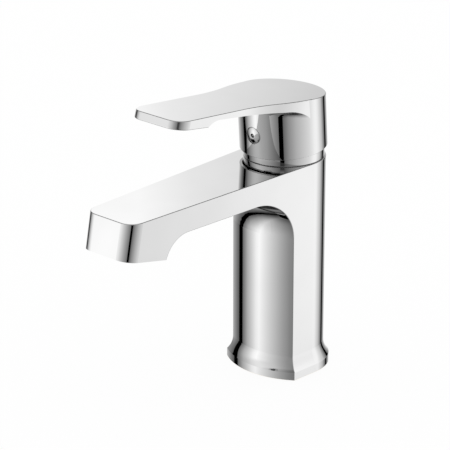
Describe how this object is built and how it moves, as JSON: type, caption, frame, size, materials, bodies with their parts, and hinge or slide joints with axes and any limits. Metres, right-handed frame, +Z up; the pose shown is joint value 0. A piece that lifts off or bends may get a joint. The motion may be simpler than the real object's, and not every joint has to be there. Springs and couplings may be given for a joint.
{
  "type": "bathroom mixer faucet",
  "caption": "Deck-mounted single-lever basin mixer in chrome: bow-fronted column, flat tapered spout with aerator, and a plate lever that lifts for flow and turns for temperature.",
  "frame": {"origin": "on the deck plane under the base, on the vertical axis of the column, cartridge and handle", "axes": "+Z up from the deck; the spout and the lever point along -Y; +X is to the side"},
  "size_m": [0.0512, 0.1613, 0.1653],
  "materials": {
    "chrome": "polished chrome plate on cast brass",
    "brass": "turned brass",
    "rubber": "black moulded rubber",
    "cartridge_plastic": "pale moulded plastic",
    "ceramic": "lapped alumina",
    "steel": "bright stainless steel",
    "aerator_plastic": "dark moulded plastic"
  },
  "bodies": {
    "body": {"faucet_body": "chrome", "base_gasket": "rubber", "bonnet": "chrome", "bonnet_seal": "rubber", "retaining_nut": "brass", "cartridge_housing": "cartridge_plastic", "cartridge_seal": "rubber", "cartridge_base": "cartridge_plastic", "base_seals": "rubber", "disc_seals": "rubber", "fixed_disc": "ceramic", "aerator_housing": "chrome", "aerator_grid": "aerator_plastic", "aerator_insert": "aerator_plastic", "aerator_screen": "steel", "aerator_washer": "rubber"},
    "rotor": {"spindle_carrier": "cartridge_plastic", "neck_seal": "rubber", "pivot_pin": "steel"},
    "lever": {"spindle": "brass", "lever_handle": "chrome", "set_screw": "steel", "indicator_plug": "chrome"},
    "disc": {"disc_carrier": "cartridge_plastic", "moving_disc": "ceramic"}
  },
  "joints": [
    {"name": "temperature_turn", "type": "hinge", "parent": "body", "child": "rotor", "pos_m": [0, 0, 0.1205], "axis": [0, 0, 1], "range_deg": [-45, 45]},
    {"name": "flow_lift", "type": "hinge", "parent": "rotor", "child": "lever", "pos_m": [0, 0, 0.1205], "axis": [-1, 0, 0], "range_deg": [0, 17]},
    {"name": "disc_slide", "type": "slide", "parent": "rotor", "child": "disc", "axis": [0, -1, 0], "range_m": [0, 0.0044]}
  ],
  "couplings": [
    {"joint": "disc_slide", "follows": "flow_lift", "m_per_rad": 0.014736}
  ]
}
